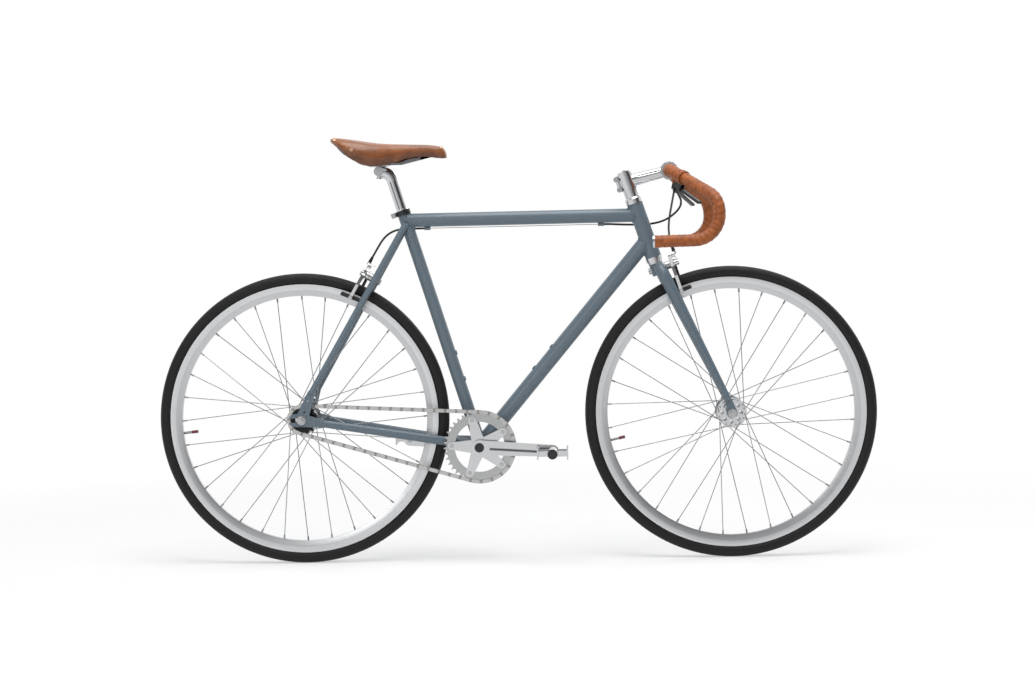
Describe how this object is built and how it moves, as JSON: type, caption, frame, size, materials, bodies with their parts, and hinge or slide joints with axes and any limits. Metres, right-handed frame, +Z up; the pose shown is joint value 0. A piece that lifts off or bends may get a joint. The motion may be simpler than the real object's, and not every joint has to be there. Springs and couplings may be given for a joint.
{
  "type": "fixed gear bicycle",
  "caption": "Fixed gear road bicycle with a diamond frame, drop bar in leather wrap, leather saddle, rim brakes, chain drive and spoked wheels.",
  "frame": {"origin": "on the ground midway between the two axles, on the bike's middle plane", "axes": "+X forward, +Y to the rider's left, +Z up"},
  "size_m": [1.6729, 0.4282, 0.991],
  "materials": {
    "frame_paint": "satin blue-grey paint",
    "polished_alloy": "polished",
    "steel": "plated",
    "black_metal": "black, semi-gloss",
    "black_plastic": "matte",
    "cable_housing": "smooth black sleeve",
    "bar_leather": "brown, wound tape",
    "saddle_leather": "brown, smooth",
    "tyre_rubber": "matte",
    "tube_rubber": "matte"
  },
  "bodies": {
    "frame": {"head_tube": "frame_paint", "top_tube": "frame_paint", "down_tube": "frame_paint", "seat_tube": "frame_paint", "bottom_bracket_shell": "frame_paint", "chainstays": "frame_paint", "seatstays": "frame_paint", "track_ends": "frame_paint", "seat_collar": "polished_alloy", "frame_fittings": "frame_paint", "headset": "polished_alloy", "bottom_bracket": "steel", "rear_axle": "steel", "rear_brake_bolt": "steel", "rear_brake_cable": "cable_housing", "rear_brake_front_housing": "cable_housing", "chain": "steel"},
    "seat": {"seatpost": "polished_alloy", "saddle_clamp": "polished_alloy", "saddle_rails": "steel", "saddle_cover": "saddle_leather"},
    "steering": {"steerer": "steel", "fork_crown": "frame_paint", "fork_blades": "frame_paint", "headset_spacers": "polished_alloy", "stem": "polished_alloy", "stem_face_plate": "polished_alloy", "stem_bolts": "steel", "handlebar": "polished_alloy", "bar_wrap": "bar_leather", "bar_plugs": "polished_alloy", "lever_brackets": "black_metal", "front_axle": "steel", "front_brake_bolt": "steel", "front_brake_housing": "cable_housing"},
    "right_lever": {"right_lever": "black_metal"},
    "left_lever": {"left_lever": "black_metal"},
    "front_brake_arm_right": {"front_brake_arm_right": "polished_alloy"},
    "front_brake_arm_left": {"front_brake_arm_left": "polished_alloy"},
    "rear_brake_arm_left": {"rear_brake_arm_left": "polished_alloy"},
    "rear_brake_arm_right": {"rear_brake_arm_right": "polished_alloy"},
    "front_wheel": {"front_tyre": "tyre_rubber", "front_inner_tube": "tube_rubber", "front_rim": "polished_alloy", "front_spokes": "steel", "front_hub": "polished_alloy"},
    "rear_wheel": {"rear_tyre": "tyre_rubber", "rear_inner_tube": "tube_rubber", "rear_rim": "polished_alloy", "rear_spokes": "steel", "rear_hub": "polished_alloy", "track_cog": "black_metal"},
    "crankset": {"crank_axles": "steel", "right_crank": "polished_alloy", "left_crank": "polished_alloy", "chainring": "polished_alloy", "crank_caps": "black_plastic"},
    "right_pedal": {"right_pedal": "polished_alloy"},
    "left_pedal": {"left_pedal": "polished_alloy"}
  },
  "joints": [
    {"name": "steering", "type": "hinge", "parent": "frame", "child": "steering", "pos_m": [0.3279, 0, 0.68727], "axis": [-0.3156, 0, 0.9489], "range_deg": [-60, 60], "deforming": ["rear_brake_front_housing"]},
    {"name": "front_wheel_spin", "type": "hinge", "parent": "steering", "child": "front_wheel", "pos_m": [0.4975, 0, 0.339], "axis": [0, 1, 0], "continuous": true},
    {"name": "rear_wheel_spin", "type": "hinge", "parent": "frame", "child": "rear_wheel", "pos_m": [-0.4975, 0, 0.339], "axis": [0, 1, 0], "continuous": true, "deforming": ["chain"]},
    {"name": "crank_spin", "type": "hinge", "parent": "frame", "child": "crankset", "pos_m": [-0.08707, 0, 0.2695], "axis": [0, 1, 0], "continuous": true},
    {"name": "right_pedal_spin", "type": "hinge", "parent": "crankset", "child": "right_pedal", "pos_m": [0.08263, -0.067, 0.25942], "axis": [0, 1, 0], "continuous": true},
    {"name": "left_pedal_spin", "type": "hinge", "parent": "crankset", "child": "left_pedal", "pos_m": [-0.25677, 0.067, 0.27958], "axis": [0, 1, 0], "continuous": true},
    {"name": "right_lever_pull", "type": "hinge", "parent": "steering", "child": "right_lever", "pos_m": [0.38348, -0.09086, 0.85703], "axis": [-0.8, -0.6, 0], "range_deg": [0, 9], "stiffness_Nm_per_rad": 1.5, "springref_deg": -5.73},
    {"name": "left_lever_pull", "type": "hinge", "parent": "steering", "child": "left_lever", "pos_m": [0.38348, 0.09086, 0.85703], "axis": [0.8, -0.6, 0], "range_deg": [0, 9], "stiffness_Nm_per_rad": 1.5, "springref_deg": -5.73},
    {"name": "front_brake_arm_right_close", "type": "hinge", "parent": "steering", "child": "front_brake_arm_right", "pos_m": [0.33232, 0, 0.67399], "axis": [0.9489, 0, 0.3156], "range_deg": [0, 1.6]},
    {"name": "front_brake_arm_left_close", "type": "hinge", "parent": "steering", "child": "front_brake_arm_left", "pos_m": [0.33232, 0, 0.67399], "axis": [-0.9489, 0, -0.3156], "range_deg": [0, 1.6]},
    {"name": "rear_brake_arm_left_close", "type": "hinge", "parent": "frame", "child": "rear_brake_arm_left", "pos_m": [-0.32482, 0, 0.65943], "axis": [-0.8653, 0, 0.5012], "range_deg": [0, 1.6]},
    {"name": "rear_brake_arm_right_close", "type": "hinge", "parent": "frame", "child": "rear_brake_arm_right", "pos_m": [-0.32482, 0, 0.65943], "axis": [0.8653, 0, -0.5012], "range_deg": [0, 1.6]},
    {"name": "seat_height", "type": "slide", "parent": "frame", "child": "seat", "axis": [-0.2974, 0, 0.9548], "range_m": [-0.05, 0.055]}
  ],
  "couplings": [
    {"joint": "crank_spin", "follows": "rear_wheel_spin", "ratio": 0.4},
    {"joint": "front_brake_arm_right_close", "follows": "left_lever_pull", "ratio": 0.1742},
    {"joint": "front_brake_arm_left_close", "follows": "left_lever_pull", "ratio": 0.1742},
    {"joint": "rear_brake_arm_left_close", "follows": "right_lever_pull", "ratio": 0.1742},
    {"joint": "rear_brake_arm_right_close", "follows": "right_lever_pull", "ratio": 0.1742}
  ]
}
